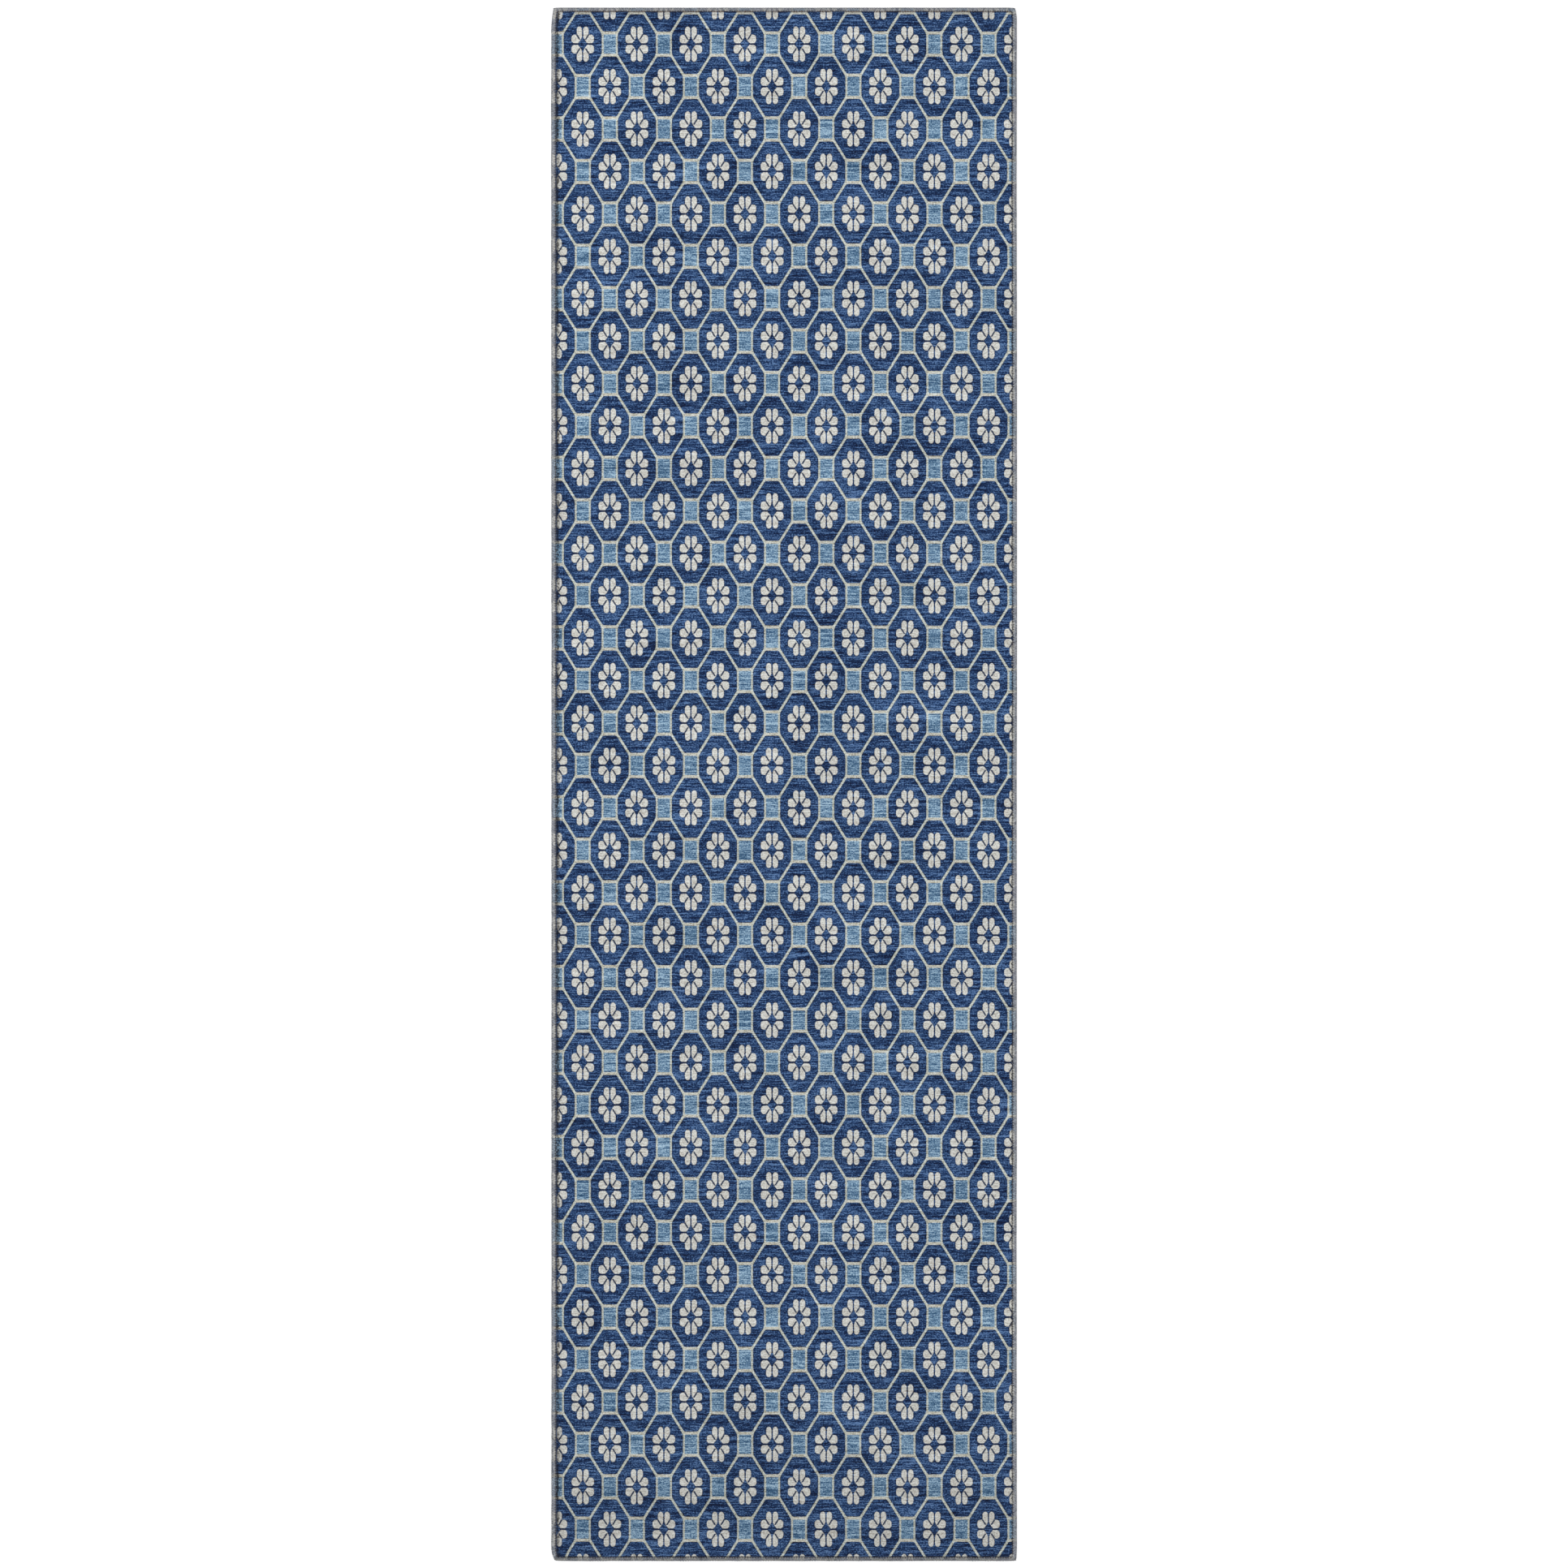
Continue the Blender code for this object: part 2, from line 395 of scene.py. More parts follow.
def mix(tree, fac, a, b, blend="MIX"):
    n = tree.nodes.new("ShaderNodeMix")
    n.data_type = "RGBA"
    n.blend_type = blend
    n.clamp_factor = True
    if isinstance(fac, N):
        tree.links.new(fac.socket, n.inputs[0])
    else:
        n.inputs[0].default_value = fac
    for s, k in ((a, 6), (b, 7)):
        if isinstance(s, tuple):
            n.inputs[k].default_value = s
        else:
            tree.links.new(s, n.inputs[k])
    return n.outputs[2]


def plan_coordinates(tree):
    """Where a point lies on the print, in metres from the middle of the rug."""
    uv = tree.nodes.new("ShaderNodeUVMap")
    uv.uv_map = "print"
    s = tree.nodes.new("ShaderNodeSeparateXYZ")
    tree.links.new(uv.outputs[0], s.inputs[0])
    return N(tree, s.outputs[0]), N(tree, s.outputs[1])


def print_group():
    """The printed repeat as a node group: plan place in, colour and grain out."""
    tree = bpy.data.node_groups.new("rug_print", "ShaderNodeTree")
    tree.interface.new_socket("X", in_out="INPUT", socket_type="NodeSocketFloat")
    tree.interface.new_socket("Y", in_out="INPUT", socket_type="NodeSocketFloat")
    tree.interface.new_socket("Color", in_out="OUTPUT", socket_type="NodeSocketColor")
    tree.interface.new_socket("Grain", in_out="OUTPUT", socket_type="NodeSocketFloat")
    tree.interface.new_socket("Light", in_out="OUTPUT", socket_type="NodeSocketFloat")
    gin = tree.nodes.new("NodeGroupInput")
    gout = tree.nodes.new("NodeGroupOutput")
    X, Y = N(tree, gin.outputs[0]), N(tree, gin.outputs[1])

    # heathering: short strokes that lie across the rug, over a fine speckle
    bend = noise(tree, X, Y, 0.016, 0.010, 1.0) - 0.5
    Ys = Y + bend * 0.0014
    streak = noise(tree, X, Ys, 0.0098, 0.00118, 2.0, 0.62) - 0.5
    long = noise(tree, X + 0.31, Ys, 0.044, 0.00150, 1.0, 0.5) - 0.5
    wide = noise(tree, X, Ys, 0.034, 0.0046, 1.0, 0.5) - 0.5
    speck = noise(tree, X, Y, 0.0022, 0.0017, 1.5, 0.6) - 0.5
    cloud = noise(tree, X, Y, 0.110, 0.075, 2.0, 0.5) - 0.5
    course = noise(tree, X, Y, 0.32, 0.017, 2.0, 0.55) - 0.5
    grain = streak * 1.55 + long * 1.40 + speck * 1.95 + wide * 0.80 + cloud * 0.34 + course * 0.30
    g01 = (grain + 0.5).clip(0.0, 1.0)
    # the pale shapes take less of the long strokes
    pale_grain = streak * 2.00 + long * 0.65 + speck * 2.35 + wide * 0.35 + course * 0.25
    p01 = (pale_grain + 0.5).clip(0.0, 1.0)

    # the pile nudges the edges of the print by a fraction of a millimetre
    jx = (noise(tree, X, Y, 0.0026, 0.0019, 1.0) - 0.5) * 0.00100
    jy = (noise(tree, X + 0.37, Y + 0.21, 0.0026, 0.0019, 1.0) - 0.5) * 0.00085
    sx = (noise(tree, X, Y, 0.17, 0.21, 1.0) - 0.5) * 0.0011
    sy = (noise(tree, X + 0.6, Y + 0.9, 0.19, 0.17, 1.0) - 0.5) * 0.0011
    px = (X + jx + sx - ROSE_X) * (1.0 / UX)
    py = (Y + jy + sy - ROSE_Y) * (1.0 / UY)

    hx, hy = REPEAT_X / 2, REPEAT_Y / 2
    ax = (px * (1.0 / REPEAT_X)).wave(0.5) * REPEAT_X
    ay = (py * (1.0 / REPEAT_Y)).wave(0.5) * REPEAT_Y
    k = (ax * (1.0 / hx) + ay * (1.0 / hy)).over(1.0)
    fx = ax + k * (hx - 2.0 * ax)
    fy = ay + k * (hy - 2.0 * ay)

    # blocks and the lines that join their corners
    r1x, r1y, r2x, r2y = hx - fx, fy, fx, hy - fy
    frame_d = (r1x - 9.78).softmax(r1y - 15.40, 1.2).min((r2x - 9.78).softmax(r2y - 15.40, 1.2))
    block_d = (r1x - 7.46).softmax(r1y - 11.88, 1.2).min((r2x - 7.46).softmax(r2y - 11.88, 1.2))
    slant_d = ((fx - hx / 2) * 0.8476 + (fy - hy / 2) * 0.5306).abs() - 1.38
    line_d = frame_d.softmin(slant_d, 2.2)
    line = line_d.inside(0.42)
    block = block_d.inside(0.42)

    # eight-petal rosette
    tall = hypot(fx - 4.0, (fy - 17.3).max(0.0) * 0.757) - 3.23
    side = hypot(((fx - 7.95).abs() - 2.02).max(0.0), ((fy - 6.30).abs() - 1.35).max(0.0)) - 3.80
    petal_d = tall.min(side)
    petal_d = petal_d.max(hypot(fx - 19.41, fy - 15.27) - 19.57)
    petal_d = petal_d.softmax(0.81 - fx, 0.5).softmax(1.04 - fy, 0.6)
    petal = petal_d.inside(0.40)
    nick = (((fx - 5.79) * 0.848 - (fy - 9.0) * 0.53).abs() - 0.94).max(5.3 - fy).inside(0.40) * petal
    waist = (fy - 1.0).max(fx - 13.8).max(4.7 - fx).inside(0.45)

    navy = ramp(tree, g01, [
        (0.00, srgb(5, 17, 48)),
        (0.22, srgb(13, 36, 73)),
        (0.50, srgb(33, 61, 103)),
        (0.78, srgb(62, 93, 140)),
        (1.00, srgb(100, 132, 176)),
    ])
    blue = ramp(tree, g01, [
        (0.00, srgb(44, 76, 109)),
        (0.22, srgb(70, 104, 136)),
        (0.50, srgb(102, 135, 164)),
        (0.78, srgb(137, 168, 193)),
        (1.00, srgb(174, 200, 218)),
    ])
    warm = noise(tree, X, Y, 0.0031, 0.0024, 1.0).clip(0.32, 0.68)
    cream_a = ramp(tree, p01, [
        (0.00, srgb(151, 148, 129)),
        (0.30, srgb(185, 185, 166)),
        (0.70, srgb(202, 206, 195)),
        (1.00, srgb(221, 229, 223)),
    ])
    cream_b = ramp(tree, p01, [
        (0.00, srgb(148, 151, 141)),
        (0.30, srgb(188, 191, 183)),
        (0.70, srgb(206, 210, 203)),
        (1.00, srgb(222, 230, 227)),
    ])
    white_a = ramp(tree, p01, [
        (0.00, srgb(171, 171, 162)),
        (0.30, srgb(199, 199, 191)),
        (0.70, srgb(215, 216, 210)),
        (1.00, srgb(232, 233, 228)),
    ])
    white_b = ramp(tree, p01, [
        (0.00, srgb(175, 166, 157)),
        (0.30, srgb(203, 197, 188)),
        (0.70, srgb(219, 215, 208)),
        (1.00, srgb(230, 231, 225)),
    ])
    cream = mix(tree, warm, cream_a, cream_b)
    # the short bars across the piece print a touch warmer, those along it a touch weaker
    across = ((hx - fx).clip(8.0, 9.4, 1.0, 0.0) * fy.clip(11.6, 12.6, 0.0, 1.0) * fy.clip(15.6, 16.6, 1.0, 0.0)).max(
        fx.clip(8.0, 9.4, 1.0, 0.0) * (hy - fy).clip(11.6, 12.6, 0.0, 1.0) * (hy - fy).clip(15.6, 16.6, 1.0, 0.0))
    along = ((hx - fx).clip(9.8, 10.8, 1.0, 0.0) * fy.clip(10.2, 11.6, 1.0, 0.0)).max(
        fx.clip(9.8, 10.8, 1.0, 0.0) * (hy - fy).clip(10.2, 11.6, 1.0, 0.0))
    cream = mix(tree, across, cream, (1.03, 0.965, 0.935, 1.0), "MULTIPLY")
    cream = mix(tree, along, cream, (0.94, 0.935, 0.935, 1.0), "MULTIPLY")
    white = mix(tree, warm, white_a, white_b)
    # dye pools a little thinner toward the rim of each petal, so it is brighter there
    glow = petal_d.clip(-3.2, -1.0, 0.98, 1.045)
    glow_c = tree.nodes.new("ShaderNodeCombineColor")
    for s in range(3):
        tree.links.new(glow.socket, glow_c.inputs[s])
    white = mix(tree, 1.0, white, glow_c.outputs[0], "MULTIPLY")

    # the dark ink is a little heavier right beside the pale shapes
    rim = line_d.min(petal_d).clip(0.3, 1.8, 0.76, 1.0)
    rim_c = tree.nodes.new("ShaderNodeCombineColor")
    for s in range(3):
        tree.links.new(rim.socket, rim_c.inputs[s])
    navy = mix(tree, 1.0, navy, rim_c.outputs[0], "MULTIPLY")
    colour = mix(tree, waist, navy, srgb(24, 37, 66))
    colour = mix(tree, line, colour, cream)
    colour = mix(tree, block, colour, blue)
    colour = mix(tree, petal, colour, white)
    colour = mix(tree, nick, colour, srgb(44, 55, 80))
    # the colour is darker over the last 0.3 m toward the foot and a touch lighter toward the head
    drift = Y.clip(-1.143, -0.84, 0.865, 1.0, "SMOOTHSTEP") * Y.clip(-0.30, 1.0, 1.0, 1.035)
    drift = drift * (1.0 + course * 0.16 + cloud * 0.13)
    tone = tree.nodes.new("ShaderNodeCombineColor")
    for s, gain in enumerate((0.800, 0.812, 0.824)):
        tree.links.new((drift * gain).socket, tone.inputs[s])
    colour = mix(tree, 1.0, colour, tone.outputs[0], "MULTIPLY")
    tree.links.new(colour, gout.inputs[0])
    tree.links.new(g01.socket, gout.inputs[1])
    tree.links.new(line.max(petal).socket, gout.inputs[2])
    return tree


PRINT = print_group()


def new_material(name, roughness, sheen=0.0, sheen_rough=0.5, specular=0.3):
    m = bpy.data.materials.new(name)
    m.use_nodes = True
    p = m.node_tree.nodes["Principled BSDF"]
    p.inputs["Roughness"].default_value = roughness
    p.inputs["Sheen Weight"].default_value = sheen
    p.inputs["Sheen Roughness"].default_value = sheen_rough
    p.inputs["Specular IOR Level"].default_value = specular
    return m, m.node_tree, p


def bump(tree, p, height, distance, strength=1.0):
    b = tree.nodes.new("ShaderNodeBump")
    b.inputs["Strength"].default_value = strength
    b.inputs["Distance"].default_value = distance
    tree.links.new(height.socket, b.inputs["Height"])
    tree.links.new(b.outputs[0], p.inputs["Normal"])
    return b


def use_print(tree, X, Y):
    g = tree.nodes.new("ShaderNodeGroup")
    g.node_tree = PRINT
    tree.links.new(X.socket, g.inputs[0])
    tree.links.new(Y.socket, g.inputs[1])
    return g


def grey_of(tree, value):
    c = tree.nodes.new("ShaderNodeCombineColor")
    for s in range(3):
        tree.links.new(value.socket, c.inputs[s])
    return c.outputs[0]


# printed pile
pile_mat, t, p = new_material("printed_pile", 0.96, sheen=0.06, sheen_rough=0.6, specular=0.12)
X, Y = plan_coordinates(t)
g = use_print(t, X, Y)
# painted shade darkens the furrow beside each seam, most on the left, and the needle's holes show as a row of dark
# dots
in_l = X + (HX - GROOVE_X)
in_r = (X * -1.0) + (HX - GROOVE_X)
in_t = (Y * -1.0) + (HY - GROOVE_Y)
in_b = Y + (HY - GROOVE_Y)
uneven = noise(t, X, Y, 0.0042, 0.0034, 2.0, 0.6)
patchy = noise(t, X + 1.7, Y, 0.045, 0.030, 2.0, 0.6)


def painted_furrow_shade(depth, solid, gone, jag, low, high):
    return ((depth - (uneven - 0.5) * jag).clip(solid, gone, 1.0, 0.0, "SMOOTHSTEP")
            * patchy.clip(0.34, 0.60, low, high))


# painted shade in the furrow inside each needle line, widest on the left
dark = painted_furrow_shade(in_l, 0.0032, 0.0058, 0.0066, 0.42, 0.86) * in_l.clip(0.0008, 0.0020, 0.15, 1.0)
dark = dark.max(painted_furrow_shade(in_r, 0.0008, 0.0031, 0.0036, 0.26, 0.60))
dark = dark.max(painted_furrow_shade(in_t, 0.0006, 0.0028, 0.0030, 0.24, 0.56))
dark = dark.max(painted_furrow_shade(in_b, 0.0006, 0.0026, 0.0034, 0.42, 0.80))
# painted shade: a soft darkening over the first 12 to 14 mm inside the head and left needle lines
broad_edge_shade = in_t.clip(0.0, 0.0125, 0.22, 0.0).max(in_l.clip(0.0, 0.014, 0.20, 0.0))
colour = mix(t, broad_edge_shade, g.outputs[0], srgb(12, 18, 34))
colour = mix(t, in_l.clip(0.0006, 0.0016, 0.55, 0.0), colour, srgb(118, 121, 130))
# the furrow's painted shade, mixed in as near-black
colour = mix(t, dark, colour, srgb(15, 17, 24))
# at the head the needle has lifted a thin brown line of the ground where it's pale
rust = N(t, g.outputs[2]) * in_t.clip(0.0004, 0.0014, 1.0, 0.0) * uneven.clip(0.35, 0.65, 0.15, 0.75)
colour = mix(t, rust, colour, srgb(128, 88, 58))
pitch_y = (Y * (1.0 / 0.0038)).wave(0.5) * 0.0038
pitch_x = (X * (1.0 / 0.0038)).wave(0.5) * 0.0038
dot_side = hypot(in_l.min(in_r) - 0.0005, pitch_y) - 0.00072
dot_end = hypot(in_t.min(in_b) - 0.0005, pitch_x) - 0.00062
dots = dot_side.min(dot_end).clip(-0.0003, 0.0003, 1.0, 0.0) * uneven.clip(0.36, 0.60, 0.25, 1.0)
pale = N(t, g.outputs[2])
bits = noise(t, X + 0.13, Y + 0.77, 0.0034, 0.0030, 1.0, 0.5).clip(0.50, 0.57)
near_side = in_l.clip(0.0052, 0.0078, 1.0, 0.0).max(in_r.clip(0.0020, 0.0036, 1.0, 0.0))
colour = mix(t, bits * near_side * pale * 0.72, colour, srgb(30, 24, 24))
colour = mix(t, dots, colour, srgb(38, 27, 24))
# stray pale fibres of the ground cloth show at needle holes on the right side
holes = noise(t, X + 0.9, Y + 0.4, 0.0022, 0.0030, 1.0).clip(0.60, 0.70)
right_only = X.clip(HX - GROOVE_X - 0.0022, HX - GROOVE_X - 0.0012) * noise(t, X, Y, 0.4, 0.022, 1.0).clip(0.46, 0.60)
colour = mix(t, holes * right_only * 0.8, colour, srgb(186, 188, 186))
t.links.new(colour, p.inputs["Base Color"])
tuft = noise(t, X, Y, 0.0012, 0.0009, 1.0, 0.6)
bump(t, p, N(t, g.outputs[1]) * 0.75 + tuft * 0.5, 0.00035, 0.55)


def yarn_material(name, base, dark, light, tint, rough):
    """Bulky spun yarn, lightly stained by the print where it covers it."""
    m, t, p = new_material(name, rough, sheen=0.15, sheen_rough=0.5, specular=0.2)
    X, Y = plan_coordinates(t)
    fibre = noise(t, X, Y, 0.00055, 0.00075, 2.0, 0.65)
    body = noise(t, X, Y, 0.0040, 0.0046, 2.0, 0.6)
    cast = noise(t, X, Y, 0.05, 0.06, 1.0)
    f = ((fibre - 0.5) * 1.6 + (body - 0.5) * 1.5 + 0.5).clip(0.0, 1.0)
    c = ramp(t, f, [(0.0, dark), (0.5, base), (1.0, light)])
    c = mix(t, cast.clip(0.35, 0.65) * 0.35, c, srgb(147, 145, 153))
    if tint:
        g = use_print(t, X, Y)
        depth = (X.abs() * -1.0 + HX).min(Y.abs() * -1.0 + HY)
        head, foot = Y.clip(HY - 0.0062, HY - 0.0044), Y.clip(-HY + 0.0044, -HY + 0.0062, 1.0, 0.0)
        inner = depth.clip(0.0010, 0.0046, 0.45, 1.0)
        left = X.clip(-HX + 0.0060, -HX + 0.0080, 1.0, 0.0)
        show = (N(t, g.outputs[2]) * 0.44 + 0.20 + foot * 0.16 + left * 0.10) * inner * body.clip(0.3, 0.7, 0.65, 1.0)
        c = mix(t, show * tint, c, mix(t, 0.20, g.outputs[0], srgb(164, 154, 136)))
        # the ends are darker than the sides, the foot most, and painted shade darkens the turn of the edge where the
        # yarn curves down
        end_tone_and_edge_shade = (1.0 - head * 0.16 - foot * 0.30) * depth.clip(0.0002, 0.0018, 0.62, 1.0)
        c = mix(t, 1.0, c, grey_of(t, end_tone_and_edge_shade), "MULTIPLY")
    t.links.new(c, p.inputs["Base Color"])
    bump(t, p, fibre, 0.0002, 0.6)
    return m


edge_mat = yarn_material(
    "edge_yarn", srgb(133, 138, 145), srgb(76, 81, 91), srgb(178, 180, 183), 1.0, 0.85)
under_mat = yarn_material(
    "edge_yarn_under", srgb(118, 120, 126), srgb(72, 74, 82), srgb(160, 160, 164), 0.0, 0.85)
thread_mat = yarn_material(
    "seam_thread", srgb(40, 34, 34), srgb(16, 15, 18), srgb(96, 88, 84), 0.0, 0.8)


def weave_material(name, a, b, size, rough, sheen=0.1):
    """A plain weave: warp and weft of two close shades, over and under."""
    m, t, p = new_material(name, rough, sheen=sheen)
    X, Y = plan_coordinates(t)
    wx = (X * (2 * math.pi / size)).sin()
    wy = (Y * (2 * math.pi / size)).sin()
    over = (wx * wy).clip(-0.6, 0.6)
    n = noise(t, X, Y, 0.004, 0.004, 3.0, 0.6)
    c = ramp(t, (over * 0.6 + n * 0.4), [(0.15, a), (0.85, b)])
    t.links.new(c, p.inputs["Base Color"])
    bump(t, p, over + n * 0.4, 0.00015, 0.7)
    return m


weave_mat = weave_material("ground_cloth", srgb(176, 170, 158), srgb(216, 211, 200), 0.0016, 0.9)

felt_mat, t, p = new_material("cushion_felt", 0.97, sheen=0.2)
X, Y = plan_coordinates(t)
f = noise(t, X, Y, 0.0016, 0.0016, 4.0, 0.75)
f2 = noise(t, X, Y, 0.02, 0.014, 2.0, 0.6)
t.links.new(ramp(t, (f * 0.7 + f2 * 0.3), [(0.3, srgb(132, 132, 134)), (0.7, srgb(196, 195, 193))]), p.inputs["Base Color"])
bump(t, p, f, 0.0005, 0.6)

film_mat, t, p = new_material("bond_film", 0.42, specular=0.5)
X, Y = plan_coordinates(t)
f = noise(t, X, Y, 0.003, 0.003, 2.0, 0.6)
t.links.new(ramp(t, f, [(0.3, srgb(208, 204, 190)), (0.7, srgb(232, 229, 218))]), p.inputs["Base Color"])
bump(t, p, f, 0.0002, 0.4)

grip_mat, t, p = new_material("grip_backing", 0.72, specular=0.4)
X, Y = plan_coordinates(t)
f = noise(t, X, Y, 0.0011, 0.0011, 2.0, 0.6)
f2 = noise(t, X, Y, 0.06, 0.045, 2.0, 0.6)
skin = ramp(t, (f * 0.45 + f2 * 0.55), [(0.3, srgb(112, 114, 117)), (0.7, srgb(146, 148, 151))])
place = t.nodes.new("ShaderNodeTexCoord")
height = t.nodes.new("ShaderNodeSeparateXYZ")
t.links.new(place.outputs["Object"], height.inputs[0])
low = N(t, height.outputs[2])
skin = mix(t, low.clip(0.00004, 0.00030, 0.55, 0.0), skin, srgb(186, 188, 190))
# painted shade: a dark band on each stud's flank next to the sheet
skin = mix(t, low.clip(0.00015, 0.00046, 0.0, 0.5) * low.clip(0.00046, 0.00051, 1.0, 0.0), skin, srgb(70, 71, 74))
t.links.new(skin, p.inputs["Base Color"])
bump(t, p, f, 0.0002, 0.5)

label_mat, t, p = new_material("label_cloth", 0.6, sheen=0.1)
X, Y = plan_coordinates(t)
lx = (X * (2 * math.pi / 0.0007)).sin().clip(-1.0, 1.0)
ly = (Y * (2 * math.pi / 0.0005)).sin().clip(-1.0, 1.0)
ribbon = ramp(t, (lx * 0.5 + ly * 0.5), [(0.1, srgb(206, 205, 199)), (0.9, srgb(238, 237, 233))])
rim_x = (X - (LABEL_LO.x + LABEL_HI.x) / 2).abs() - ((LABEL_HI.x - LABEL_LO.x) / 2 - 0.0022)
rim_y = (Y - (LABEL_LO.y + LABEL_HI.y) / 2).abs() - ((LABEL_HI.y - LABEL_LO.y) / 2 - 0.0022)
seam_at = rim_x.max(rim_y).abs()
ribbon = mix(t, seam_at.clip(0.00024, 0.00040, 0.75, 0.0), ribbon, srgb(150, 151, 152))
t.links.new(ribbon, p.inputs["Base Color"])
bump(t, p, lx + ly, 0.0001, 0.6)


def dress(ob, mat, slot_name, *nodes):
    ob.data.materials.append(mat)
    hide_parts(*nodes)
    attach(ob, "root")
    return ob


# ------------------------------------------------------------------ the pile
def stepped(half, fine, fine_n, coarse):
    """Grid stations from -half to half: fine steps at both ends, coarse between."""
    edge = np.arange(fine_n) * fine
    inner = half - fine * fine_n
    n = int(round(2 * inner / coarse))
    return np.concatenate([-half + edge, np.linspace(-inner, inner, n + 1), (half - edge)[::-1]])


LIP = PILE_LO.z + 0.00030
FULL = PILE_HI.z - 0.00015
STROKE = Field(21, 0.0085, 0.0021)
TUFT = Field(22, 0.0032, 0.0024)
SOFT = Field(23, 0.16, 0.12)
SOFT_2 = Field(24, 0.055, 0.05)
PUCKER = Field(25, 0.0028, 0.0028)


CREASES = [  # soft creases left by folding: line, height, half width
    ([(-0.012, 0.552), (0.072, 0.540), (0.114, 0.510), (0.132, 0.450), (0.126, 0.379),
      (0.144, 0.319), (0.186, 0.271), (0.192, 0.218), (0.240, 0.176), (0.300, 0.152)], 0.00135, 0.0085),
    ([(0.098, 0.300), (0.150, 0.262), (0.200, 0.196), (0.262, 0.142), (0.312, 0.128)], -0.00075, 0.0080),
    ([(-0.150, 0.246), (-0.075, 0.236), (0.004, 0.232)], -0.00085, 0.0075),
    ([(0.130, 0.098), (0.220, 0.100), (0.300, 0.112)], 0.00080, 0.0080),
    ([(-0.300, 0.010), (-0.190, 0.016), (-0.120, 0.010), (0.010, 0.022), (0.080, 0.020)], 0.00055, 0.0075),
    ([(0.050, -0.150), (0.170, -0.158), (0.260, -0.150)], 0.00060, 0.0080),
    ([(-0.210, -0.860), (-0.120, -0.872), (-0.060, -0.866)], -0.00080, 0.0085),
    ([(-0.280, 0.905), (-0.100, 0.920), (0.090, 0.905), (0.260, 0.915)], 0.00045, 0.0110),
    ([(-0.300, 0.560), (-0.220, 0.545), (-0.160, 0.560)], -0.00055, 0.0090),
]


def crease(x, y):
    z = np.zeros(len(x))
    for line, height, width in CREASES:
        line = np.array(line)
        near = (y > line[:, 1].min() - 0.05) & (y < line[:, 1].max() + 0.05)
        px, py = x[near], y[near]
        best = np.full(len(px), 1.0)
        at = np.zeros(len(px))
        total = np.concatenate([[0], np.cumsum(np.linalg.norm(np.diff(line, axis=0), axis=1))])
        for k in range(len(line) - 1):
            a, d = line[k], line[k + 1] - line[k]
            f = np.clip(((px - a[0]) * d[0] + (py - a[1]) * d[1]) / (d @ d), 0, 1)
            r = np.hypot(px - a[0] - f * d[0], py - a[1] - f * d[1])
            closer = r < best
            best[closer] = r[closer]
            at[closer] = ((total[k] + f * (total[k + 1] - total[k])) / total[-1])[closer]
        fade = smooth(at / 0.25) * smooth((1 - at) / 0.25)
        z[near] += height * fade * np.exp(-((best / width) ** 2))
    return z


def pile_top(x, y):
    dx = HX - np.abs(x)
    dy = HY - np.abs(y)
    run_in = np.where(x < 0, 0.0040, 0.0024)
    rise_x = smooth((dx - GROOVE_X - 0.0001) / run_in)
    rise_y = smooth((dy - GROOVE_Y - 0.0001) / 0.0026)
    rise = np.minimum(rise_x, rise_y)
    body = FULL - LIP
    swell = 0.00022 * SOFT(x, y) + 0.00010 * SOFT_2(x, y) + crease(x, y)
    relief = 0.00010 * STROKE(x, y) + 0.00008 * TUFT(x, y)
    # each stitch pulls its own small dent into the pile beside it
    near = smooth(1 - (np.minimum(dx - GROOVE_X, dy - GROOVE_Y)) / 0.006)
    dent = -0.00022 * near * rise * (0.5 + 0.5 * PUCKER(x, y))
    return LIP + rise * (body + swell + relief + dent)


fine_x, fine_y = 0.0006, 0.0006
pile = closed_sheet(
    "pile_face_cloth",
    stepped(PILE_HI.x, fine_x, 20, 0.0026),
    stepped(PILE_HI.y, fine_y, 20, 0.00135),
    pile_top,
    lambda x, y: np.full(len(x), PILE_LO.z),
)
dress(pile, pile_mat, "printed_pile", "pile_face")

# ------------------------------------------------------------------ the layers
RIPPLE = Field(31, 0.02, 0.02)


def layer(name, lo, hi, mat, slot_name, node, amount=0.00003):
    ob = closed_sheet(
        name,
        stepped(hi.x, 0.002, 4, 0.012),
        stepped(hi.y, 0.002, 4, 0.012),
        lambda x, y: hi.z - amount + amount * RIPPLE(x, y),
        lambda x, y: np.full(len(x), lo.z),
        bands=2,
    )
    return dress(ob, mat, slot_name, node)


weave = layer("ground_weave_cloth", WEAVE_LO, WEAVE_HI, weave_mat, "ground_cloth", "ground_weave")
film_up = layer("upper_bond_film_sheet", FILM1_LO, FILM1_HI, film_mat, "bond_film", "upper_bond_film")
felt = layer("cushion_felt_sheet", FELT_LO, FELT_HI, felt_mat, "cushion_felt", "cushion_felt")
film_low = layer("lower_bond_film_sheet", FILM2_LO, FILM2_HI, film_mat, "bond_film", "lower_bond_film")


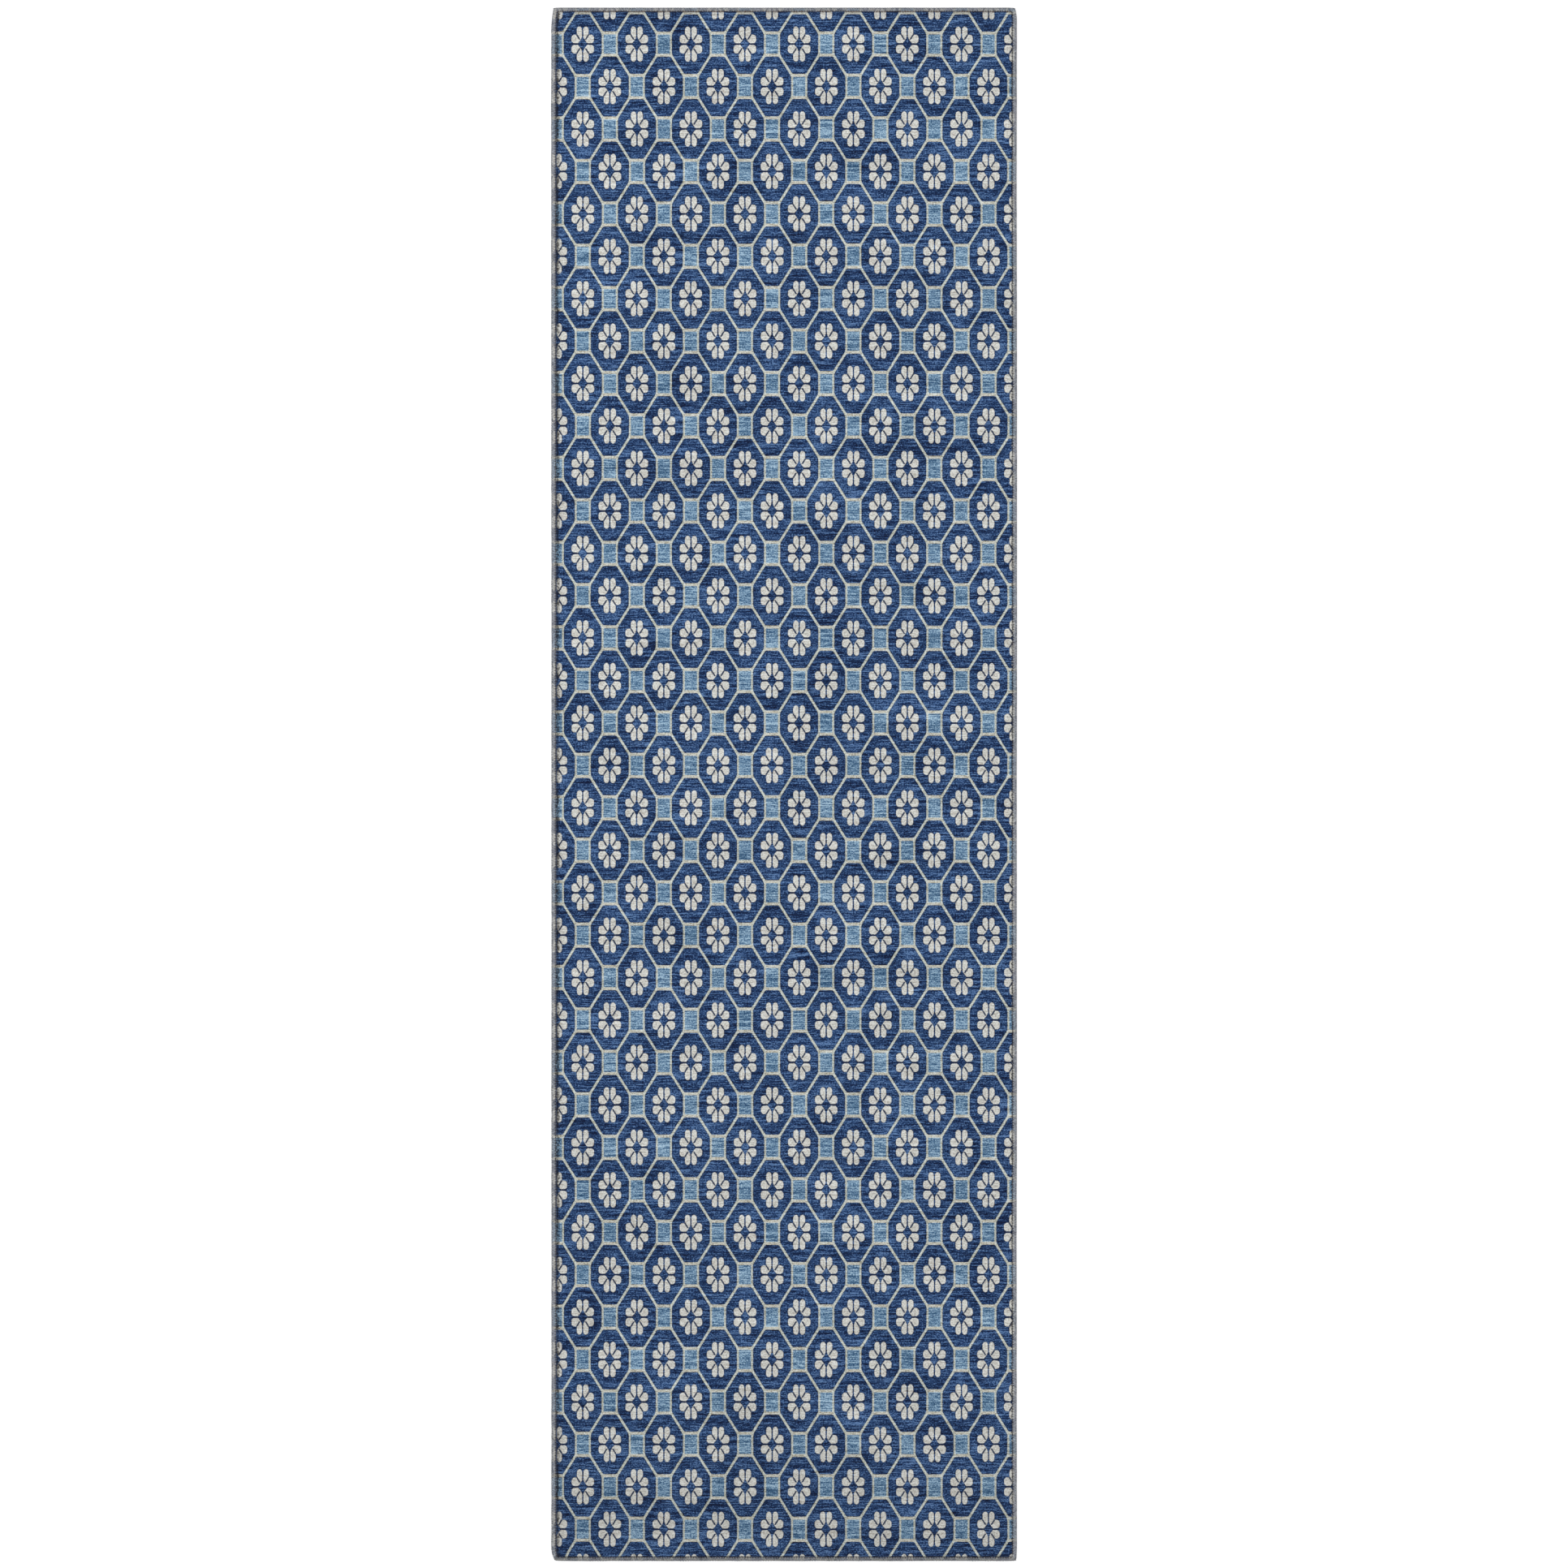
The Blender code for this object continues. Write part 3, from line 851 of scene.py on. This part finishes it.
# ------------------------------------------------------------------ the backing
def backing_sheet():
    """The rubber backing: a thin sheet with a moulded field of small round studs
    that reach the floor, left off where the label lies."""
    base_z = BACK_LO.z + 0.00050
    lip_z = BACK_HI.z - 0.00030

    def low(x, y):
        d = np.minimum(HX - np.abs(x) - BAND_X, HY - np.abs(y) - BAND_Y)
        return np.where(d > 0.0006, base_z, lip_z)

    xs, ys = stepped(BACK_HI.x, 0.0011, 8, 0.012), stepped(BACK_HI.y, 0.0011, 8, 0.012)
    nx, ny = len(xs), len(ys)
    Xg, Yg = np.meshgrid(xs, ys, indexing="ij")
    flat = np.stack([Xg.ravel(), Yg.ravel(), np.zeros(nx * ny)], 1)
    at = drawn_in(flat)
    up, dn = at.copy(), at.copy()
    up[:, 2] = BACK_HI.z
    dn[:, 2] = low(flat[:, 0], flat[:, 1])
    idx = np.arange(nx * ny).reshape(nx, ny)
    n0 = nx * ny
    q = np.stack([idx[:-1, :-1], idx[1:, :-1], idx[1:, 1:], idx[:-1, 1:]], -1).reshape(-1, 4)
    ring = np.concatenate([idx[:, 0], idx[-1, 1:], idx[-2::-1, -1], idx[0, -2:0:-1]])
    nxt = np.roll(ring, -1)
    wall = np.stack([ring, ring + n0, nxt + n0, nxt], 1)
    faces = [q, (q + n0)[:, ::-1], wall]
    verts = [up, dn]
    # studs
    pitch, r0, r1, sides = 0.0120, 0.0021, 0.0016, 8
    a = np.arange(sides) / sides * 2 * math.pi
    rows = int((2 * HY - 0.03) / (pitch * 0.866))
    cols = int((2 * HX - 0.03) / pitch)
    c = []
    for r in range(rows):
        for k in range(cols):
            x = (k - (cols - 1) / 2 + (0.25 if r % 2 else -0.25)) * pitch
            y = (r - (rows - 1) / 2) * pitch * 0.866
            if (LABEL_LO.x - 0.004 < x < LABEL_HI.x + 0.004) and (LABEL_LO.y - 0.004 < y < LABEL_HI.y + 0.004):
                continue
            c.append((x, y))
    c = np.array(c)
    m = len(c)
    top = np.zeros((m, sides, 3))
    tip = np.zeros((m, sides, 3))
    for arr, r, z in ((top, r0, base_z + 0.0001), (tip, r1, BACK_LO.z + 0.00002)):
        arr[..., 0] = c[:, None, 0] + r * np.cos(a)
        arr[..., 1] = c[:, None, 1] + r * np.sin(a)
        arr[..., 2] = z
    base = 2 * n0
    v = np.concatenate([top.reshape(-1, 3), tip.reshape(-1, 3)])
    ti = base + np.arange(m * sides).reshape(m, sides)
    bi = ti + m * sides
    tn, bn = np.roll(ti, -1, 1), np.roll(bi, -1, 1)
    studs = np.stack([bi, bn, tn, ti], -1).reshape(-1, 4)
    co = np.concatenate([*verts, v])
    quads = np.concatenate([*faces, studs])
    loops = np.concatenate([quads.ravel(), bi[:, ::-1].ravel(), ti.ravel()])
    starts = np.concatenate([
        np.arange(len(quads)) * 4,
        len(quads) * 4 + np.arange(m) * sides,
        len(quads) * 4 + m * sides + np.arange(m) * sides,
    ])
    totals = np.concatenate([np.full(len(quads), 4), np.full(2 * m, sides)])
    plan = co[:, :2]
    return make_object("nonslip_backing_sheet", co, loops, starts, totals, uvs=plan, sharp=35)


backing = dress(backing_sheet(), grip_mat, "grip_backing", "nonslip_backing")

# ------------------------------------------------------------------ the label
lab_x = np.linspace(LABEL_LO.x, LABEL_HI.x, 31)
lab_y = np.linspace(LABEL_LO.y, LABEL_HI.y, 56)
CURL = Field(41, 0.02, 0.018)


def label_mesh():
    """A narrow ribbon with a folded rim, lying against the backing."""
    X, Y = np.meshgrid(lab_x, lab_y, indexing="ij")
    nx, ny = X.shape
    z = (LABEL_LO.z + LABEL_HI.z) / 2 + 0.00004 * CURL(X, Y)
    edge = np.minimum.reduce([X - LABEL_LO.x, LABEL_HI.x - X, Y - LABEL_LO.y, LABEL_HI.y - Y])
    half = 0.00006 + 0.00005 * (1 - smooth((edge - 0.0015) / 0.0006))
    up = np.stack([X, Y, z + half], -1).reshape(-1, 3)
    dn = np.stack([X, Y, z - half], -1).reshape(-1, 3)
    n0 = nx * ny
    idx = np.arange(n0).reshape(nx, ny)
    q = np.stack([idx[:-1, :-1], idx[1:, :-1], idx[1:, 1:], idx[:-1, 1:]], -1).reshape(-1, 4)
    ring = np.concatenate([idx[:, 0], idx[-1, 1:], idx[-2::-1, -1], idx[0, -2:0:-1]])
    nxt = np.roll(ring, -1)
    quads = np.concatenate([q, (q + n0)[:, ::-1], np.stack([ring, ring + n0, nxt + n0, nxt], 1)])
    parts, faces, at = [up, dn], [quads], 2 * n0
    # a row of lockstitches along each long side and across the two ends
    inset, run, gap = 0.0022, 0.0021, 0.0030
    x0, x1 = LABEL_LO.x + inset, LABEL_HI.x - inset
    y0, y1 = LABEL_LO.y + inset, LABEL_HI.y - inset
    rows = [((x0, y0), (x1, y0)), ((x1, y0), (x1, y1)), ((x1, y1), (x0, y1)), ((x0, y1), (x0, y0))]
    under = (LABEL_LO.z + LABEL_HI.z) / 2 - 0.00008
    f = np.linspace(-1, 1, 7)
    a = np.arange(6) / 6 * 2 * math.pi
    for (ax, ay), (bx, by) in rows:
        span = math.hypot(bx - ax, by - ay)
        ux, uy = (bx - ax) / span, (by - ay) / span
        for k in range(int(span / gap)):
            m = (k + 0.5) * span / int(span / gap)
            r = 0.00019 * np.sqrt(np.maximum(1 - f**4, 0.06))
            along = m + f * run / 2
            side, lift = r[:, None] * np.cos(a), 0.7 * r[:, None] * np.sin(a)
            ring = np.stack([
                ax + ux * along[:, None] - uy * side,
                ay + uy * along[:, None] + ux * side,
                under - 0.00003 * (1 - f[:, None] ** 2) + lift,
            ], -1)
            ids = at + np.arange(42).reshape(7, 6)
            nx_ = np.roll(ids, -1, 1)
            faces.append(np.stack([ids[:-1], nx_[:-1], nx_[1:], ids[1:]], -1).reshape(-1, 4))
            c0, c1 = ids[0], ids[-1]
            faces.append(np.array([
                [c0[0], c0[3], c0[2], c0[1]], [c0[0], c0[5], c0[4], c0[3]],
                [c1[0], c1[1], c1[2], c1[3]], [c1[0], c1[3], c1[4], c1[5]],
            ]))
            parts.append(ring.reshape(-1, 3))
            at += 42
    co, quads = np.concatenate(parts), np.concatenate(faces)
    return make_object("care_label_ribbon", co, quads.ravel(), np.arange(len(quads)) * 4,
                       np.full(len(quads), 4), uvs=co[:, :2])


label = dress(label_mesh(), label_mat, "label_cloth", "care_label")

# ------------------------------------------------------------------ the overlock
STITCH = 0.0038          # one stitch along the seam
UPPER = np.array([       # inward from the outline, and height: needle line to edge
    (0.00555, 0.00420), (0.00490, 0.00462), (0.00370, 0.00478), (0.00230, 0.00476),
    (0.00110, 0.00445), (0.00052, 0.00375), (0.00044, 0.00270),
])
LOWER = np.array([
    (0.00046, 0.00250), (0.00044, 0.00185), (0.00060, 0.00110), (0.00130, 0.00060),
    (0.00260, 0.00046), (0.00420, 0.00046), (0.00520, 0.00052),
])


def section(points, narrow):
    """The run's cross-section, its width scaled to this band, with normals."""
    d = points[:, 0].copy()
    d[d > 0.0012] = 0.0012 + (d[d > 0.0012] - 0.0012) * (narrow - 0.0012) / (BAND_X - 0.0012)
    z = points[:, 1]
    t = np.gradient(np.stack([d, z], 1), axis=0)
    t /= np.linalg.norm(t, axis=1)[:, None]
    n = np.stack([-t[:, 1], t[:, 0]], 1)
    out = np.stack([d - 0.003, z - 0.0025], 1)
    n *= np.sign((n * out).sum(1))[:, None]
    return d, z, n


def zigzag(run, points, seed, half_w, half_t):
    """The centre line of one looper's yarn along one run, out and back."""
    vertical = run in ("left", "right")
    narrow = BAND_X if vertical else BAND_Y
    d, z, nrm = section(points, narrow)
    rng = np.random.default_rng(seed)
    length = 2 * (HY - 0.0032) if vertical else 2 * (HX - 0.0006)
    count = int(round(length / (STITCH / 2)))
    step = length / count
    m = len(points)
    s, dd, zz, nd, nz = [], [], [], [], []
    for k in range(count):
        order = np.arange(m) if k % 2 else np.arange(m)[::-1]
        f = np.linspace(0, 1, m, endpoint=False)
        # the outward strand crosses nearly square, the return strand slants
        lean = 0.10 if k % 2 else -0.10
        s.append(-length / 2 + (k + f + lean * np.sin(f * math.pi)) * step)
        j = rng.normal(0, 1, 3)
        reach = 1 + 0.035 * j[0]
        dd.append(d[order] * np.where(d[order] > 0.0025, reach, 1) )
        zz.append(z[order] + 0.00006 * j[1] * np.sin(np.linspace(0, math.pi, m)))
        nd.append(nrm[order, 0])
        nz.append(nrm[order, 1])
    s, dd, zz, nd, nz = (np.concatenate(q) for q in (s, dd, zz, nd, nz))
    wob = Field(seed + 5, 0.0031, 1.0)
    s = s + 0.00012 * wob(s, 0.5)
    zero = np.zeros_like(s)
    if run == "left":
        path, normal = np.stack([-HX + dd, s, zz], 1), np.stack([nd, zero, nz], 1)
    elif run == "right":
        path, normal = np.stack([HX - dd, s, zz], 1), np.stack([-nd, zero, nz], 1)
    elif run == "head":
        path, normal = np.stack([s, HY - dd, zz], 1), np.stack([zero, -nd, nz], 1)
    else:
        path, normal = np.stack([s, -HY + dd, zz], 1), np.stack([zero, nd, nz], 1)
    if vertical:
        # the ends of a side run are sewn over by the end runs, which press it down
        under = smooth((np.abs(s) - (HY - BAND_Y - 0.0012)) / 0.0010)
        path[:, 2] = 0.0025 + (path[:, 2] - 0.0025) * (1 - 0.22 * under)
    else:
        # the end runs curl round the corners a little
        tip = smooth((np.abs(s) - (HX - 0.0030)) / 0.0030)
        path[:, 2] = 0.0025 + (path[:, 2] - 0.0025) * (1 - 0.30 * tip)
        inward = np.array([0, -1 if run == "head" else 1, 0.0])
        path += inward * (0.0003 * tip)[:, None]
    plan = path[:, :2].copy()
    path = drawn_in(path)
    # the yarn's turns at the edge aren't all pulled alike
    loose = {"left": 0.00024, "right": 0.00014, "head": 0.00012, "foot": 0.00034}[run]
    outer = smooth((0.0030 - dd) / 0.0020)
    ragged = loose * outer * (Field(seed + 11, 0.0075, 1.0)(s, 0.4) + 0.6 * Field(seed + 13, 0.021, 1.0)(s, 0.6))
    ragged = ragged + {"left": 0.0001, "right": 0.0001, "head": 0.0004, "foot": 0.0004}[run] * outer
    path[:, 0 if vertical else 1] += (-1 if run in ("left", "foot") else 1) * ragged
    rw = half_w * (1 + 0.12 * Field(seed + 7, 0.0017, 1.0)(s, 0.3))
    return path, normal, rw, np.full(len(s), half_t), plan, np.cumsum(np.full(len(s), 0.9))


for k, run in enumerate(("left", "right", "head", "foot")):
    for looper, points, mat, seed in (
        ("upper", UPPER, edge_mat, 100 + k), ("lower", LOWER, under_mat, 200 + k)):
        path, normal, rw, rt, plan, twist = zigzag(run, points, seed, 0.00104, 0.00044)
        ob = tube(f"{looper}_looper_strands_{run}", path, normal, rw, rt, 6, plan=plan, twist=twist)
        dress(ob, mat, "edge_yarn", f"{looper}_looper_yarn_{run}")

# ------------------------------------------------------------------ needle thread
for k, run in enumerate(("left", "right", "head", "foot")):
    lo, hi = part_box("needle_thread_" + run)
    vertical = run in ("left", "right")
    a, b = (lo.y, hi.y) if vertical else (lo.x, hi.x)
    count = int((b - a) / STITCH)
    per = 6
    s = np.linspace(a + 0.0004, b - 0.0004, count * per + 1)
    phase = (np.arange(len(s)) % per) / per
    zz = (lo.z + hi.z) / 2 - 0.00010 + 0.00016 * np.sin(phase * 2 * math.pi)
    across = 0.00008 * Field(300 + k, 0.0025, 1.0)(s, 0.5)
    mid = ((lo.x + hi.x) / 2) if vertical else ((lo.y + hi.y) / 2)
    path = np.stack([mid + across, s, zz], 1) if vertical else np.stack([s, mid + across, zz], 1)
    normal = np.tile((0.0, 0.0, 1.0), (len(s), 1))
    plan = path[:, :2].copy()
    radius = 0.00021 * (1 + 0.25 * np.sin(phase * 2 * math.pi))
    ob = tube("needle_stitches_" + run, drawn_in(path), normal, radius, radius, 6, plan=plan,
              twist=np.arange(len(s)) * 0.8)
    dress(ob, thread_mat, "seam_thread", "needle_thread_" + run)

# ------------------------------------------------------------------ the room
bpy.ops.mesh.primitive_plane_add(size=60, location=(0, 0, -0.00015))
floor = bpy.context.object
floor.name = "floor"
fm, t, p = new_material("floor_pale", 0.85, specular=0.1)
p.inputs["Base Color"].default_value = (0.50, 0.50, 0.50, 1)
p.inputs["Emission Color"].default_value = (1.0, 1.0, 1.0, 1)
p.inputs["Emission Strength"].default_value = 0.58
floor.data.materials.append(fm)

world = bpy.data.worlds.new("studio")
bpy.context.scene.world = world
world.use_nodes = True
bg = world.node_tree.nodes["Background"]
bg.inputs[0].default_value = (1.0, 1.0, 1.0, 1)
# white round the horizon, softer overhead
coords = world.node_tree.nodes.new("ShaderNodeTexCoord")
split = world.node_tree.nodes.new("ShaderNodeSeparateXYZ")
world.node_tree.links.new(coords.outputs["Generated"], split.inputs[0])
sky = N(world.node_tree, split.outputs[2]).clip(0.10, 0.45, 1.02, 0.59)
world.node_tree.links.new(sky.socket, bg.inputs[1])


def softbox(name, at, aim, size, power):
    lamp = bpy.data.lights.new(name, "AREA")
    lamp.shape = "RECTANGLE"
    lamp.size, lamp.size_y = size
    lamp.energy = power
    ob = bpy.data.objects.new(name, lamp)
    ob.location = at
    ob.rotation_euler = (Vector(aim) - Vector(at)).to_track_quat("-Z", "Y").to_euler()
    ob.visible_camera = False
    bpy.context.scene.collection.objects.link(ob)
    return ob


softbox("key_softbox", (-1.9, 1.3, 3.0), (0, 0.0, 0), (2.4, 3.2), 70)
softbox("fill_softbox", (1.8, -0.9, 3.4), (0, -0.3, 0), (2.6, 3.2), 42)

cam_data = bpy.data.cameras.new("camera")
cam_data.lens = 100.0
cam_data.sensor_width = 36.0
cam_data.clip_end = 60
cam = bpy.data.objects.new("camera", cam_data)
# the frame is 1932 drawing units wide at the height of the pile
FRAME_WIDTH = 1932 * (0.2 * UX + 0.8 * UY)
cam.location = (-0.1 * UX, 0.35 * UY, FRAME_WIDTH * cam_data.lens / cam_data.sensor_width + PILE_HI.z - 0.0003)
cam.rotation_euler = (0, 0, 0)
bpy.context.scene.collection.objects.link(cam)
bpy.context.scene.camera = cam

bpy.context.scene.view_settings.view_transform = "Standard"
bpy.context.scene.view_settings.look = "None"

bpy.context.view_layer.update()
